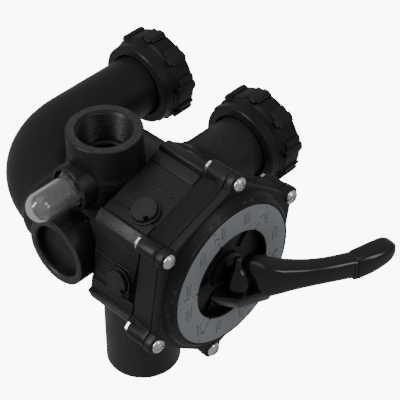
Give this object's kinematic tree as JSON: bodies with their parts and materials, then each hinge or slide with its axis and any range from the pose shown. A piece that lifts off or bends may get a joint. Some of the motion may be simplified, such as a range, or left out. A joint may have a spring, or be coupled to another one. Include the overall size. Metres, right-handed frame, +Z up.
{
  "type": "multiport valve",
  "caption": "Six-way side-mount multiport valve with a lever handle, threaded and plain ports, sight glass, rear elbow and two union nuts for a pool filter.",
  "frame": {"origin": "midway between the axes of the two union joints, on the plane of their sealing faces, where the valve meets the filter", "axes": "+X out of the unions towards the filter, +Y along the valve's axis from the handle to the rear, +Z up through the threaded top port"},
  "size_m": [0.2515, 0.3488, 0.254],
  "materials": {
    "housing_plastic": "black glass-filled plastic, satin moulded",
    "pipe_plastic": "black plastic pipe, satin",
    "nut_plastic": "black moulded plastic, satin",
    "handle_plastic": "glossy black plastic",
    "label_film": "blue-grey printed film",
    "stainless_steel": "bright stainless steel",
    "spring_steel": "drawn stainless spring wire",
    "rubber": "black moulded rubber",
    "clear_acrylic": "clear moulded acrylic",
    "rotor_plastic": "black reinforced plastic",
    "nylon": "black nylon"
  },
  "bodies": {
    "housing": {"valve_body": "housing_plastic", "rear_manifold": "housing_plastic", "union_tail_pipe": "housing_plastic", "drain_stub": "housing_plastic", "cover": "housing_plastic", "cover_o_ring": "rubber", "position_label": "label_film", "cover_screw_1": "stainless_steel", "cover_screw_2": "stainless_steel", "cover_screw_3": "stainless_steel", "cover_screw_4": "stainless_steel", "cover_screw_5": "stainless_steel", "cover_screw_6": "stainless_steel", "cover_nut_1": "stainless_steel", "cover_nut_2": "stainless_steel", "cover_nut_3": "stainless_steel", "cover_nut_4": "stainless_steel", "cover_nut_5": "stainless_steel", "cover_nut_6": "stainless_steel", "spider_gasket": "rubber", "sight_glass": "clear_acrylic", "sight_glass_gasket": "rubber", "gauge_plug": "housing_plastic", "gauge_plug_o_ring": "rubber", "drain_plug": "housing_plastic", "drain_plug_o_ring": "rubber", "elbow_pipe": "pipe_plastic", "union_collar_near": "housing_plastic", "union_collar_far": "housing_plastic", "union_o_ring_near": "rubber", "union_o_ring_far": "rubber"},
    "selector": {"handle_washer": "nylon", "spring_washer_front": "stainless_steel", "rotor_spring": "spring_steel"},
    "rotor": {"rotor": "rotor_plastic", "spring_washer_rear": "stainless_steel", "stem_o_ring_1": "rubber", "stem_o_ring_2": "rubber", "handle_pin": "stainless_steel"},
    "handle": {"handle": "handle_plastic", "handle_grip": "handle_plastic"},
    "near_nut": {"union_nut_near": "nut_plastic"},
    "far_nut": {"union_nut_far": "nut_plastic"}
  },
  "joints": [
    {"name": "selector_turn", "type": "hinge", "parent": "housing", "child": "selector", "pos_m": [-0.131, -0.1585, 0], "axis": [0, -1, 0], "continuous": true},
    {"name": "rotor_lift", "type": "slide", "parent": "selector", "child": "rotor", "axis": [0, -1, 0], "range_m": [0, 0.0052], "deforming": ["rotor_spring"]},
    {"name": "handle_press", "type": "hinge", "parent": "rotor", "child": "handle", "pos_m": [-0.132, -0.171, 0], "axis": [0, 0, 1], "range_deg": [0, 22], "stiffness_Nm_per_rad": 1.5, "springref_deg": -17.19},
    {"name": "union_nut_near_spin", "type": "hinge", "parent": "housing", "child": "near_nut", "pos_m": [-0.013, -0.0625, 0], "axis": [1, 0, 0], "continuous": true},
    {"name": "union_nut_far_spin", "type": "hinge", "parent": "housing", "child": "far_nut", "pos_m": [-0.013, 0.0625, 0], "axis": [1, 0, 0], "continuous": true}
  ],
  "couplings": [
    {"joint": "rotor_lift", "follows": "handle_press", "m_per_rad": 0.0135}
  ]
}
